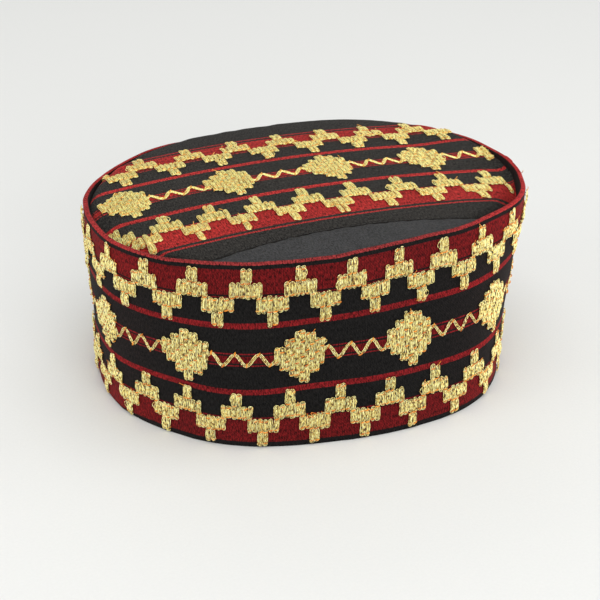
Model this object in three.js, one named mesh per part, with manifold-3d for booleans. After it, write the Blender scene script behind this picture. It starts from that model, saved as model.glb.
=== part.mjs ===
// A stiff oval cap of striped cloth that stands on its open lower edge.
// Its side wall ends in a thin standing rim, and a domed crown is sewn in just below that rim:
// a striped panel, with a plain satin piece along the near side.
// Millimetres, +Z up. The origin lies on the table, under the middle of the cap.

import * as THREE from 'three';
import Module from 'manifold-3d';

// Driving sizes.
const height = 83.7;
const rimHalfLength = 100;
const rimHalfWidth = 74.8;
const footHalfLength = 94;
const footHalfWidth = 86.6;
const wallThickness = 2.6;
const footRounding = 0.6;
const crownThickness = 2;
const crownEdgeBelowRim = 4.5;
const crownRollWidth = 6;
const crownTurnDown = 6;
const sewnGap = 0.3;

// The oval plans, as superellipses: an exponent of 2 is an ellipse, more is squarer.
// The egg share makes the +X end fuller than the -X end. Shifts are shares of the plan's own size.
const rimPlan = {
  halfLength: rimHalfLength, halfWidth: rimHalfWidth, roundness: 2.3, egg: 0, shiftX: 0, shiftY: -0.04,
};
const footPlan = {
  halfLength: footHalfLength, halfWidth: footHalfWidth, roundness: 2.27, egg: 0.1, shiftX: -0.05, shiftY: 0,
};

// Soft ridges and hollows of the wall. at and spread are shares of the way round from the near side's
// middle towards +X, level and reach are shares of the height, and out is a share of the wall thickness.
const wallDents = [
  { name: 'near ridge', at: 0.9, spread: 0.055, level: 0.4, reach: 0.6, out: 0.8 },
  { name: 'hollow left of it', at: 0.835, spread: 0.05, level: 0.25, reach: 0.6, out: -0.55 },
  { name: 'hollow right of it', at: 0.96, spread: 0.05, level: 0.35, reach: 0.6, out: -0.6 },
  { name: 'near right hollow', at: 0.025, spread: 0.06, level: 0.85, reach: 0.55, out: -0.7 },
  { name: 'near right ridge', at: 0.09, spread: 0.055, level: 0.3, reach: 0.6, out: 0.6 },
  { name: 'right end, upper', at: 0.185, spread: 0.09, level: 0.85, reach: 0.6, out: 0.5 },
  { name: 'left end, upper', at: 0.7, spread: 0.08, level: 1, reach: 0.6, out: 0.5 },
];

// The crown's dome over the rim's crest, as shares of the height: a cubic from the near side to the far side,
// which drops towards both ends.
const crownDome = { middle: 0.036, slope: 0.1, bend: -0.023, twist: -0.066, endDrop: 0.078 };

// The seam between the crown's two pieces, an arc in plan: shares of the rim's half width and half length.
const seam = { apexX: -0.2, apexY: -0.655, bow: 0.24 };

// Faces: steps round the cap, wall levels as shares of the height, steps over the crest, rings of the crown's
// rolled edge as shares of the roll's width, and rings of its dome as shares of the way out from the middle.
const stepsRound = 112;
const wallLevels = [0.2, 0.4, 0.6, 0.8];
const crestSteps = 5;
const rollRings = [0.12, 0.4, 0.75, 1];
const underRollRings = [1, 0.6];
const crownRings = [0.84, 0.64, 0.42, 0.2];
const planSamples = 1440;
const seamSamples = 24;
const seamBlockReach = 2;

// A plan oval that gives the point at a share of the way round, from the near side's middle towards +X.
function ovalPlan({ halfLength, halfWidth, roundness, egg, shiftX, shiftY }) {
  const points = [];
  const lengths = [0];
  for (let i = 0; i <= planSamples; i += 1) {
    const angle = -Math.PI / 2 + (2 * Math.PI * i) / planSamples;
    const reachX = Math.sign(Math.cos(angle)) * Math.abs(Math.cos(angle)) ** (2 / roundness);
    const reachY = Math.sign(Math.sin(angle)) * Math.abs(Math.sin(angle)) ** (2 / roundness);
    const x = halfLength * (reachX + shiftX);
    const y = halfWidth * (reachY * (1 + egg * reachX) + shiftY);
    points.push(new THREE.Vector2(x, y));
    if (i > 0) lengths.push(lengths[i - 1] + points[i].distanceTo(points[i - 1]));
  }
  const whole = lengths[planSamples];
  return (share) => {
    const target = (share - Math.floor(share)) * whole;
    let low = 0;
    let high = planSamples;
    while (high - low > 1) {
      const middle = (low + high) >> 1;
      if (lengths[middle] <= target) low = middle;
      else high = middle;
    }
    const part = (target - lengths[low]) / (lengths[high] - lengths[low]);
    return points[low].clone().lerp(points[high], part);
  };
}

const rimAt = ovalPlan(rimPlan);
const footAt = ovalPlan(footPlan);

// A smooth hump that is 1 at distance 0 and 0 from the given reach on.
function hump(distance, reach) {
  const part = Math.min(Math.abs(distance) / reach, 1);
  return 0.5 + 0.5 * Math.cos(Math.PI * part);
}

function dentOut(share, level) {
  let out = 0;
  for (const dent of wallDents) {
    const around = ((share - dent.at + 1.5) % 1) - 0.5;
    out += dent.out * wallThickness * hump(around, dent.spread) * hump(level - dent.level, dent.reach);
  }
  return out;
}

// The wall's outer line at a share round and a level, as a share of the height.
function outerLine(share, level) {
  return footAt(share).lerp(rimAt(share), level);
}

// A point of the wall, inset from its outer face, at a height z.
function wallPoint(share, z, inset) {
  const level = z / height;
  const step = 0.5 / stepsRound;
  const ahead = outerLine(share + step, level);
  const behind = outerLine(share - step, level);
  const along = ahead.sub(behind).normalize();
  const place = outerLine(share, level);
  const out = dentOut(share, level) - inset;
  return new THREE.Vector3(place.x + along.y * out, place.y - along.x * out, z);
}

function ring(pointAt) {
  return Array.from({ length: stepsRound }, (_, i) => pointAt(i / stepsRound));
}

// A closed body from rings of points. Without end points its last ring joins its first, as in a ring-shaped body.
function bodyFromRings(rings, firstPoint, lastPoint) {
  const positions = [];
  const index = [];
  for (const p of rings.flat()) positions.push(p.x, p.y, p.z);
  const at = (r, i) => r * stepsRound + (i % stepsRound);
  const bands = firstPoint ? rings.length - 1 : rings.length;
  for (let r = 0; r < bands; r += 1) {
    const next = (r + 1) % rings.length;
    for (let i = 0; i < stepsRound; i += 1) {
      index.push(at(r, i), at(r, i + 1), at(next, i + 1));
      index.push(at(r, i), at(next, i + 1), at(next, i));
    }
  }
  if (firstPoint) {
    const first = positions.length / 3;
    positions.push(firstPoint.x, firstPoint.y, firstPoint.z, lastPoint.x, lastPoint.y, lastPoint.z);
    for (let i = 0; i < stepsRound; i += 1) {
      index.push(first, at(0, i + 1), at(0, i));
      index.push(first + 1, at(rings.length - 1, i), at(rings.length - 1, i + 1));
    }
  }
  const geometry = new THREE.BufferGeometry();
  geometry.setAttribute('position', new THREE.Float32BufferAttribute(positions, 3));
  geometry.setIndex(index);
  return geometry;
}

// The side wall: a flat foot with a rounded outer corner, the outer face, a round crest and the inner face.
function sideWall() {
  const half = wallThickness / 2;
  const rings = [];
  const add = (z, inset) => rings.push(ring((share) => wallPoint(share, z, inset)));
  add(0, footRounding);
  add(footRounding, 0);
  for (const level of wallLevels) add(level * height, 0);
  for (let i = 0; i < crestSteps; i += 1) {
    const angle = (Math.PI * i) / (crestSteps - 1);
    add(height - half + half * Math.sin(angle), half - half * Math.cos(angle));
  }
  for (const level of [...wallLevels].reverse()) add(level * height, wallThickness);
  add(0, wallThickness);
  return bodyFromRings(rings);
}

// The dome's height over the table at a place in plan.
function domeHeight(x, y) {
  const across = (y - rimPlan.shiftY * rimHalfWidth) / rimHalfWidth;
  const along = x / rimHalfLength;
  const { middle, slope, bend, twist, endDrop } = crownDome;
  const rise = middle + slope * across + bend * across ** 2 + twist * across ** 3 - endDrop * along ** 2;
  return height * (1 + rise);
}

// The whole crown: a domed sheet whose edge rolls down inside the rim and turns down along the wall.
function crownShell() {
  const sewnLine = height - crownEdgeBelowRim;
  const edgeInset = wallThickness + sewnGap;
  const middle = new THREE.Vector2(0, rimPlan.shiftY * rimHalfWidth);
  const rollRise = (share) => Math.sqrt(1 - (1 - share) ** 2);
  const topPoint = (share, inset) => {
    const edge = wallPoint(share, sewnLine, edgeInset + inset);
    const over = domeHeight(edge.x, edge.y) - sewnLine;
    const z = sewnLine + over * rollRise(Math.min(inset / crownRollWidth, 1));
    return new THREE.Vector3(edge.x, edge.y, z);
  };
  const domePoint = (share, reach, drop) => {
    const edge = topPoint(share, crownRollWidth);
    const x = middle.x + (edge.x - middle.x) * reach;
    const y = middle.y + (edge.y - middle.y) * reach;
    return new THREE.Vector3(x, y, domeHeight(x, y) - drop);
  };
  const rings = [];
  for (const reach of [...crownRings].reverse()) rings.push(ring((share) => domePoint(share, reach, crownThickness)));
  for (const part of underRollRings) {
    const inset = crownThickness + (crownRollWidth - crownThickness) * part;
    rings.push(ring((share) => topPoint(share, inset).add(new THREE.Vector3(0, 0, -crownThickness))));
  }
  const underRoll = (share) => Math.min(topPoint(share, crownThickness).z - crownThickness, sewnLine);
  const lowest = sewnLine - crownTurnDown;
  rings.push(ring((share) => wallPoint(share, underRoll(share), edgeInset + crownThickness)));
  rings.push(ring((share) => wallPoint(share, lowest, edgeInset + crownThickness)));
  rings.push(ring((share) => wallPoint(share, lowest, edgeInset)));
  rings.push(ring((share) => wallPoint(share, sewnLine, edgeInset)));
  for (const part of rollRings) rings.push(ring((share) => topPoint(share, part * crownRollWidth)));
  for (const reach of crownRings) rings.push(ring((share) => domePoint(share, reach, 0)));
  const top = new THREE.Vector3(middle.x, middle.y, domeHeight(middle.x, middle.y));
  const under = top.clone().add(new THREE.Vector3(0, 0, -crownThickness));
  return bodyFromRings(rings, under, top);
}

// A tall block over the part of the plan on one side of the seam, half a sewn gap away from it.
function seamBlock(side) {
  const outX = seamBlockReach * rimHalfLength;
  const outY = side * seamBlockReach * rimHalfWidth;
  const depth = seamBlockReach * height;
  const shape = new THREE.Shape();
  shape.moveTo(outX, outY);
  shape.lineTo(-outX, outY);
  for (let i = 0; i <= seamSamples; i += 1) {
    const x = -outX + (2 * outX * i) / seamSamples;
    const along = x / rimHalfLength - seam.apexX;
    shape.lineTo(x, rimHalfWidth * (seam.apexY - seam.bow * along ** 2) + (side * sewnGap) / 2);
  }
  return new THREE.ExtrudeGeometry(shape, { depth, bevelEnabled: false });
}

const wasm = await Module();
wasm.setup();

// A solid from a closed geometry, with equal corners merged to one.
function toSolid(geometry) {
  const position = geometry.getAttribute('position');
  const corners = new Map();
  const vertProperties = [];
  const place = (i) => {
    const p = [position.getX(i), position.getY(i), position.getZ(i)];
    const key = p.join(' ');
    if (!corners.has(key)) {
      corners.set(key, corners.size);
      vertProperties.push(...p);
    }
    return corners.get(key);
  };
  const count = geometry.index ? geometry.index.count : position.count;
  const triVerts = Uint32Array.from({ length: count }, (_, i) => place(geometry.index ? geometry.index.getX(i) : i));
  return new wasm.Manifold(new wasm.Mesh({ numProp: 3, vertProperties: Float32Array.from(vertProperties), triVerts }));
}

function toGeometry(solid) {
  const mesh = solid.getMesh();
  const geometry = new THREE.BufferGeometry();
  geometry.setAttribute('position', new THREE.BufferAttribute(Float32Array.from(mesh.vertProperties), 3));
  geometry.setIndex(Array.from(mesh.triVerts));
  return geometry;
}

function piece(name, geometry, color, roughness) {
  geometry.computeVertexNormals();
  const mesh = new THREE.Mesh(geometry, new THREE.MeshStandardMaterial({ color, roughness, metalness: 0 }));
  mesh.name = name;
  return mesh;
}

const crown = toSolid(crownShell());
const cap = new THREE.Group();
cap.add(piece('side_wall', sideWall(), 0x5a1a20, 0.9));
cap.add(piece('crown_panel', toGeometry(crown.intersect(toSolid(seamBlock(1)))), 0x3a3c3c, 0.9));
cap.add(piece('crown_front', toGeometry(crown.intersect(toSolid(seamBlock(-1)))), 0x2c2d2f, 0.55));

export default cap;
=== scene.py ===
# %% [markdown]
# A stiff oval cap of striped cloth, worked in gold thread. The solids of the cap are loaded first. They are
# the frame: every piece below is built in their place and takes their size, so nothing is fitted by hand.

import math

import bmesh
import bpy
import numpy as np
from mathutils import Matrix, Vector


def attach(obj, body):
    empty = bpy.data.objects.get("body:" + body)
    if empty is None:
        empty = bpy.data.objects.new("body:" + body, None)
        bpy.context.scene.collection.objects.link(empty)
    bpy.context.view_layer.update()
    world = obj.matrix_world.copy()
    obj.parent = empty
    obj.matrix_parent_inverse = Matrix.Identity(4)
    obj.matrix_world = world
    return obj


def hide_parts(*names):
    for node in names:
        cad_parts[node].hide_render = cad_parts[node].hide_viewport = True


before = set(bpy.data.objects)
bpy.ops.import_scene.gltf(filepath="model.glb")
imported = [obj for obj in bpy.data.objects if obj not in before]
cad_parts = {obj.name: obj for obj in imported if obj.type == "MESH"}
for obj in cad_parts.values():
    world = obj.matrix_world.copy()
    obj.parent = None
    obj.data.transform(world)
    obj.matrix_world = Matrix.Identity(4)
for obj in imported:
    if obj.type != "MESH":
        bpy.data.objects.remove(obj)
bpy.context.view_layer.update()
print("solids:", sorted(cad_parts))

# %% [markdown]
# The camera comes before the pieces. Its place was worked out from the photo's outlines: it stands a little
# to the left of the cap's long side and looks down on it with a long lens, so the oval has little
# perspective.

# %% Camera
MM = 0.001
TURN = 2 * math.pi
camera_azimuth = math.radians(-23.28)
camera_elevation = math.radians(27.229)
camera_roll = math.radians(-0.419)
camera_place = Vector((-215.93, -498.58, 303.39)) * MM
camera_back = Vector((
    math.sin(camera_azimuth) * math.cos(camera_elevation),
    -math.cos(camera_azimuth) * math.cos(camera_elevation),
    math.sin(camera_elevation),
))
level_right = Vector((0, 0, 1)).cross(camera_back).normalized()
level_up = camera_back.cross(level_right)
camera_right = math.cos(camera_roll) * level_right + math.sin(camera_roll) * level_up
camera_axes = Matrix((camera_right, camera_back.cross(camera_right), camera_back))

camera_data = bpy.data.cameras.new("photo_camera")
camera_data.sensor_width = 36
camera_data.lens = 77.35
camera = bpy.data.objects.new("photo_camera", camera_data)
camera.matrix_world = Matrix.Translation(camera_place) @ camera_axes.transposed().to_4x4()
bpy.context.collection.objects.link(camera)
bpy.context.scene.camera = camera
print("camera distance:", round(camera_place.length, 3), "m")

# %% [markdown]
# Materials and Geometry Nodes are both graphs of nodes. Written out node by node, a sum of three terms
# takes a page. This small class stands for one output socket, and its operators add the Math nodes, so a
# pattern reads as the sum that it is. Graph.add makes every other node: its settings first, then what its
# sockets get.

# %% Sockets that take part in sums
class Value:
    def __init__(self, graph, socket):
        self.graph, self.socket = graph, socket

    def math(self, operation, *others):
        return self.graph.add("ShaderNodeMath", {"operation": operation}, dict(enumerate((self, *others))))

    def __add__(self, other):
        return self.math("ADD", other)

    def __sub__(self, other):
        return self.math("SUBTRACT", other)

    def __rsub__(self, other):
        return self.graph.add("ShaderNodeMath", {"operation": "SUBTRACT"}, {0: other, 1: self})

    def __mul__(self, other):
        return self.math("MULTIPLY", other)

    def smooth(self, low, high):
        """0 at low and 1 at high, with a soft step between them."""
        sockets = {"Value": self, "From Min": low, "From Max": high}
        return self.graph.add("ShaderNodeMapRange", {"interpolation_type": "SMOOTHSTEP"}, sockets)

    def wave(self, pitch):
        return (self * (TURN / pitch)).math("SINE")


class Graph:
    def __init__(self, tree):
        self.tree = tree

    def add(self, kind, settings=None, sockets=None, out=0):
        node = self.tree.nodes.new(kind)
        for name, value in (settings or {}).items():
            setattr(node, name, value)
        for key, value in (sockets or {}).items():
            if isinstance(value, Value):
                self.tree.links.new(value.socket, node.inputs[key])
            else:
                node.inputs[key].default_value = value
        return Value(self, node.outputs[out]) if node.outputs else None

    def ramp(self, factor, stops, steps="LINEAR"):
        """Colours along a factor of 0 to 1; stops are pairs of a place and a red, green and blue."""
        made = self.add("ShaderNodeValToRGB", None, {"Fac": factor})
        ramp = made.socket.node.color_ramp
        ramp.interpolation = steps
        while len(ramp.elements) < len(stops):
            ramp.elements.new(1)
        for element, (position, color) in zip(ramp.elements, stops):
            element.position = position
            element.color = (*color, 1)
        return made

    def vector(self, x, y, z=0.0):
        return self.add("ShaderNodeCombineXYZ", None, {0: x, 1: y, 2: z})

    def split(self, vector):
        node = self.add("ShaderNodeSeparateXYZ", None, {0: vector}).socket.node
        return [Value(self, socket) for socket in node.outputs]

    def vector_math(self, operation, first, second):
        second_socket = "Scale" if operation == "SCALE" else 1
        return self.add("ShaderNodeVectorMath", {"operation": operation}, {0: first, second_socket: second})

    def noise(self, vector, scale, detail=2.0, roughness=0.5):
        sockets = {"Vector": vector, "Scale": scale, "Detail": detail, "Roughness": roughness}
        return self.add("ShaderNodeTexNoise", None, sockets)

    def lumps(self, scale, detail=2.0, roughness=0.5):
        """Noise in the piece's own space, where scale counts the lumps in a metre."""
        return self.noise(self.add("ShaderNodeTexCoord", out=3), scale, detail, roughness)

    def shaded(self, color, shade):
        """A colour times a shade, which is a value or a vector of three."""
        settings = {"data_type": "RGBA", "blend_type": "MULTIPLY"}
        return self.add("ShaderNodeMix", settings, {0: 1.0, 6: color, 7: shade}, out=2)

    def surface(self, color, roughness, height, distance, strength=1.0):
        """What a shader gets: the bump's height of 0 to 1 stands for a real distance in metres."""
        sockets = {"Height": height, "Distance": distance, "Strength": strength}
        normal = self.add("ShaderNodeBump", None, sockets)
        return {"Base_Color": color, "Roughness": roughness, "Normal": normal}


def material(name, paint, *choices, **constants):
    """A material whose varying inputs come from paint, as a dictionary; the constants stay on the shader."""
    made = bpy.data.materials.new(name)
    made.use_nodes = True
    shader = made.node_tree.nodes["Principled BSDF"]
    for key, value in {**paint(Graph(made.node_tree), *choices), **constants}.items():
        socket = shader.inputs[key.replace("_", " ")]
        if isinstance(value, Value):
            made.node_tree.links.new(value.socket, socket)
        else:
            socket.default_value = value
    return made


print("node helpers ready")

# %% [markdown]
# The cap stands on a plain pale sheet, as in a light tent: a very big soft panel over it, another in front,
# weak ones behind and at both ends, and a bright surround. So the shadows are faint, and much of the light
# on the upright wall is what the sheet throws back.

# %% Floor and light
def floor_paint(graph):
    grain = graph.lumps(900, 3)
    tone = graph.ramp(grain, [(0.3, (0.735, 0.74, 0.725)), (0.7, (0.755, 0.76, 0.745))])
    return graph.surface(tone, 0.7, grain, 0.05 * MM)


def add_panel(name, place, aim_height, size, power):
    """A soft lamp that looks at a point over the middle of the floor."""
    data = bpy.data.lights.new(name, "AREA")
    data.shape = "RECTANGLE"
    data.size, data.size_y = size
    data.energy = power
    lamp = bpy.data.objects.new(name, data)
    place = Vector(place)
    toward_cap = (Vector((0, 0, aim_height)) - place).to_track_quat("-Z", "Y")
    lamp.matrix_world = Matrix.Translation(place) @ toward_cap.to_matrix().to_4x4()
    bpy.context.collection.objects.link(lamp)


bpy.ops.mesh.primitive_grid_add(x_subdivisions=4, y_subdivisions=4, size=8, location=(0, 0, 0))
floor = bpy.context.object
floor.name = "floor"
floor.data.materials.append(material("pale_sheet", floor_paint))

add_panel("overhead_panel", (0.05, -0.4, 2.5), 0.03, (2.6, 2.2), 34)
add_panel("back_panel", (0.3, 2.1, 1.5), 0.03, (2.0, 1.0), 6)
add_panel("near_panel", (-0.2, -2.1, 0.8), 0.04, (1.8, 1.0), 32)
add_panel("right_panel", (2.0, -0.6, 0.38), 0.04, (1.0, 0.6), 15)
add_panel("left_panel", (-2.0, 0.1, 0.38), 0.04, (1.0, 0.6), 13)

world = bpy.data.worlds.new("studio")
world.use_nodes = True
surround = world.node_tree.nodes["Background"]
surround.inputs["Color"].default_value = (1, 1, 0.985, 1)
surround.inputs["Strength"].default_value = 0.45
bpy.context.scene.world = world
bpy.context.scene.view_settings.view_transform = "Standard"

# %% [markdown]
# The cap's shape is two ovals, one at the foot and one at the rim, with straight lines between them, and a
# few soft ridges and hollows. These are the rules that the solids were made by, so a finer mesh lands where
# they are. A place on the wall is a share of the way round, from the near side's middle towards +X, and a
# height.

# %% The oval wall
height = 83.7 * MM
wall_thickness = 2.6 * MM
rim_half = (100 * MM, 74.8 * MM)
rim_back = -0.04  # how far the rim's middle lies towards the near side, as a share of its half width
rim_roundness = 2.3
foot_half = (94 * MM, 86.6 * MM)
foot_left = -0.05  # how far the foot's middle lies towards the left end
foot_roundness = 2.27
foot_egg = 0.1  # how much wider the foot is at its right end
share_step = 0.5 / 112


def oval(half, roundness, egg, shift):
    """Points of an oval plan, for each its share of the way round, and the whole way round."""
    angle = -math.pi / 2 + TURN * np.linspace(0, 1, 1441)
    reach_x = np.sign(np.cos(angle)) * np.abs(np.cos(angle)) ** (2 / roundness)
    reach_y = np.sign(np.sin(angle)) * np.abs(np.sin(angle)) ** (2 / roundness)
    plan = [half[0] * (reach_x + shift[0]), half[1] * (reach_y * (1 + egg * reach_x) + shift[1])]
    run = run_along(np.stack(plan, 1))
    return np.stack(plan, 1), run / run[-1], run[-1]


def run_along(line):
    return np.concatenate([[0], np.cumsum(np.linalg.norm(np.diff(line, axis=0), axis=1))])


rim_oval = oval(rim_half, rim_roundness, 0, (0, rim_back))
foot_oval = oval(foot_half, foot_roundness, foot_egg, (foot_left, 0))

# at and spread are shares of the way round, level and reach of the height, out of the wall's thickness
wall_dents = [
    {"at": 0.9, "spread": 0.055, "level": 0.4, "reach": 0.6, "out": 0.8},
    {"at": 0.835, "spread": 0.05, "level": 0.25, "reach": 0.6, "out": -0.55},
    {"at": 0.96, "spread": 0.05, "level": 0.35, "reach": 0.6, "out": -0.6},
    {"at": 0.025, "spread": 0.06, "level": 0.85, "reach": 0.55, "out": -0.7},
    {"at": 0.09, "spread": 0.055, "level": 0.3, "reach": 0.6, "out": 0.6},
    {"at": 0.185, "spread": 0.09, "level": 0.85, "reach": 0.6, "out": 0.5},
    {"at": 0.7, "spread": 0.08, "level": 1, "reach": 0.6, "out": 0.5},
    # the ones from here on are only in the cloth: the solids are plainer there
    {"at": 0.58, "spread": 0.08, "level": 1, "reach": 0.8, "out": 0.85},
    {"at": 0.71, "spread": 0.09, "level": 0.5, "reach": 1.2, "out": -0.5},
    {"at": 0.71, "spread": 0.07, "level": 1, "reach": 0.4, "out": -0.35},
    {"at": 0.18, "spread": 0.08, "level": 0.1, "reach": 0.6, "out": -0.45},
    {"at": 0.15, "spread": 0.055, "level": 1, "reach": 0.35, "out": 0.65},
    {"at": 0.235, "spread": 0.06, "level": 1, "reach": 0.35, "out": 0.38},
]


def outer_line(share, level):
    """Plan of the outer face without its dents."""
    share, level = np.mod(share, 1), np.asarray(level)[..., None]
    at_foot, at_rim = (
        np.stack([np.interp(share, shares, plan[:, 0]), np.interp(share, shares, plan[:, 1])], -1)
        for plan, shares, _ in (foot_oval, rim_oval)
    )
    return at_foot * (1 - level) + at_rim * level


def hump(distance, reach):
    """1 in the middle, 0 from the reach on."""
    return 0.5 + 0.5 * np.cos(math.pi * np.minimum(np.abs(distance) / reach, 1))


def dent_out(share, level):
    out = 0
    for dent in wall_dents:
        around = np.mod(share - dent["at"] + 0.5, 1) - 0.5
        out = out + dent["out"] * hump(around, dent["spread"]) * hump(level - dent["level"], dent["reach"])
    return out * wall_thickness


def wall_points(share, z, inset):
    """Points of the wall, inset from its outer face."""
    share, z, inset = np.broadcast_arrays(np.asarray(share, float), z, inset)
    level = z / height
    along = outer_line(share + share_step, level) - outer_line(share - share_step, level)
    along = along / np.linalg.norm(along, axis=-1, keepdims=True)
    out = (dent_out(share, level) - inset)[..., None]
    plan = outer_line(share, level) + out * np.stack([along[..., 1], -along[..., 0]], -1)
    return np.concatenate([plan, z[..., None]], -1)


def girth(level):
    return foot_oval[2] * (1 - level) + rim_oval[2] * level


print("round the foot and the rim:", round(foot_oval[2] / MM), round(rim_oval[2] / MM), "mm")

# %% [markdown]
# Both the wall and the crown are cut from one striped cloth: a narrow maroon middle, then black, a thin red
# stripe, black again, a broad maroon stripe and a black and red border. It is the same on both sides of the
# middle, so one short table of edges serves the whole cap, through a colour ramp with hard steps. The crown
# looks up into the light, so its copy of the dyes is paler: painted light. The wall's copy is darker: painted
# shade. The weave is too fine for geometry, so it is a bump.

# %% Striped cloth
# where each stripe starts, in millimetres from the cloth's middle line
stripes = [
    (0.0, "maroon"), (1.5, "black"), (2.3, "red"), (2.8, "black"), (13.6, "red"), (16.1, "black"),
    (27.0, "red"), (27.6, "black"), (28.5, "maroon"), (39.1, "black"), (41.0, "border"),
]
# the wall's copy of the dyes is darker: painted shade on the upright wall
wall_dyes_painted_shade = {
    "black": (0.0058, 0.0053, 0.0051), "maroon": (0.091, 0.004, 0.0046),
    "red": (0.126, 0.0057, 0.007), "border": (0.19, 0.021, 0.021),
}
# the crown's copy of the same dyes is paler: painted light where the crown faces the light
crown_dyes_painted_light = {
    "black": (0.0238, 0.0217, 0.0194), "maroon": (0.295, 0.0185, 0.0165),
    "red": (0.33, 0.022, 0.0205), "border": (0.31, 0.022, 0.0205),
}
ramp_reach = 50.0
cloth_map = "cloth"
map_scale = 10.0  # the cloth's own map holds tenths of a metre
thread_pitch, twill_pitch = 0.62, 1.15


def cloth_place(graph):
    """Distance along the cloth and away from its middle line, in millimetres."""
    along, across, _ = graph.split(graph.add("ShaderNodeUVMap", {"uv_map": cloth_map}))
    return along * (1 / (MM * map_scale)), across * (1 / (MM * map_scale))


def stretched(graph, along, across, per_mm, detail=2.0, roughness=0.5):
    """Noise on the cloth, with its own count of lumps in a millimetre each way."""
    return graph.noise(graph.vector(along * per_mm[0], across * per_mm[1]), 1.0, detail, roughness)


def wall_habits(along, across):
    """At the left end the cloth was pulled under the foot, so the border nearly disappears there, and
    towards both ends the red is raised, as painted light from the lamps at the ends. Returns the place across
    to read, and how much painted light goes into the red."""
    pulled = across.smooth(-34.0, -38.7) * along.smooth(-95.0, -135.0) * along.smooth(-215.0, -180.0)
    # painted light: the red rises towards both ends, where the lamps at the ends light the wall
    painted_side_light = along.smooth(15.0, 95.0) * 0.7 + along.smooth(-75.0, -130.0) * 0.45
    return across + pulled * 2.3, painted_side_light


def crown_habits(along, across):
    """Along the near side the crown's border lies a little further out than on the far side."""
    return across + across.smooth(-30.0, -37.0) * 2.2, 0.0


def striped_paint(graph, dyes, border_end, lowest, habits):
    """border_end is where the last red line ends; lowest keeps that line off the cloth's lower edge."""
    along, across = cloth_place(graph)
    across, painted_side_light = habits(along, across)
    crossing = along.wave(thread_pitch) * across.wave(thread_pitch) * 0.2
    crossing = crossing + (along + across).wave(twill_pitch) * 0.3 + 0.5
    ribs = stretched(graph, along, across, (1.1, 0.05), 3, 0.65)
    slubs = stretched(graph, along, across, (0.06, 1.3), 3, 0.65)
    specks = stretched(graph, along, across, (1.9, 0.6), 2, 0.7)
    fade = stretched(graph, along, across, (0.02, 0.05), 3)
    wander = stretched(graph, along, across, (0.9, 0.2)) - 0.5
    from_middle = (across + wander * 0.25).math("MAXIMUM", lowest).math("ABSOLUTE")
    stops = [(start / ramp_reach, dyes[color]) for start, color in [*stripes, (border_end, "black")]]
    dyed = graph.ramp(from_middle * (1 / ramp_reach), stops, "CONSTANT")
    shade = ribs * 0.9 + slubs * 0.7 + crossing * 0.5 + fade * 0.5 + specks * 5.2 - 2.9
    # the red channel also carries the painted light at the wall's ends
    color = graph.shaded(dyed, graph.vector(shade * (painted_side_light + 1.0 if painted_side_light else 1.0), shade, shade))
    relief = crossing * 0.5 + ribs * 0.25 + slubs * 0.25
    return graph.surface(color, ribs * 0.15 + 0.78, relief, 0.25 * MM, 0.7)


dull = {"Sheen_Weight": 0.02, "Specular_IOR_Level": 0.08}
wall_stripes = material("wall_stripes", striped_paint, wall_dyes_painted_shade, 43.4, -40.9, wall_habits, **dull)
crown_stripes = material("crown_stripes", striped_paint, crown_dyes_painted_light, 42.1, -ramp_reach, crown_habits, **dull)
print("stripes:", len(stripes))

# %% [markdown]
# Every cloth piece is a grid of points: rows that follow the cloth's section and columns that follow its
# length. So the grid is also the cloth's map, and the stripes and the weave stay in place wherever it
# bends. The helper joins the grid to a closed mesh and keeps, at each point, which way is out of the cloth,
# for the thread.

# %% Cloth from a grid of points
def smooth_object(name, mesh):
    for poly in mesh.polygons:
        poly.use_smooth = True
    made = bpy.data.objects.new(name, mesh)
    bpy.context.collection.objects.link(made)
    return made


def cloth_from_grid(name, points, places, cloth_material, closed_round, map_shifts=0.0):
    """points and places are (rows, columns, ...) arrays. Rows always close; columns close if closed_round.
    places has one row more, for the last band's far side. map_shifts moves each band's place on the map."""
    rows, columns = points.shape[:2]
    mesh = bpy.data.meshes.new(name)
    across = columns if closed_round else columns - 1
    row, column = np.meshgrid(np.arange(rows), np.arange(across), indexing="ij")
    next_row, next_column = (row + 1) % rows, (column + 1) % columns
    faces = np.stack([
        row * columns + column, row * columns + next_column,
        next_row * columns + next_column, next_row * columns + column,
    ], -1).reshape(-1, 4).tolist()
    if not closed_round:
        faces.append([r * columns for r in range(rows)])
        faces.append([r * columns + columns - 1 for r in reversed(range(rows))])
    mesh.from_pydata(points.reshape(-1, 3).tolist(), [], faces)
    corner_row = np.stack([row, row, row + 1, row + 1], -1).reshape(-1)
    corner_column = np.stack([column, column + 1, column + 1, column], -1).reshape(-1)
    flat = np.zeros((len(mesh.loops), 2))
    flat[:len(corner_row)] = places[corner_row, corner_column]
    flat[:len(corner_row), 0] += np.repeat(np.broadcast_to(map_shifts, rows), across * 4)
    mesh.uv_layers.new(name=cloth_map).data.foreach_set("uv", (flat * map_scale).ravel())
    mesh.materials.append(cloth_material)
    mesh.update()
    made = smooth_object(name, mesh)
    edit = bmesh.new()
    edit.from_mesh(mesh)
    bmesh.ops.remove_doubles(edit, verts=edit.verts, dist=1e-6)
    bmesh.ops.dissolve_degenerate(edit, edges=edit.edges, dist=1e-7)
    if edit.calc_volume(signed=True) < 0:
        bmesh.ops.reverse_faces(edit, faces=edit.faces)
    edit.normal_update()
    open_edges = sum(not edge.is_manifold for edge in edit.edges)
    edit.to_mesh(mesh)
    edit.free()
    normals = np.zeros(len(mesh.vertices) * 3)
    mesh.vertices.foreach_get("normal", normals)
    mesh.attributes.new("cloth_out", "FLOAT_VECTOR", "POINT").data.foreach_set("vector", normals)
    print(name, len(mesh.polygons), "faces, open edges:", open_edges)
    return made


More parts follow.
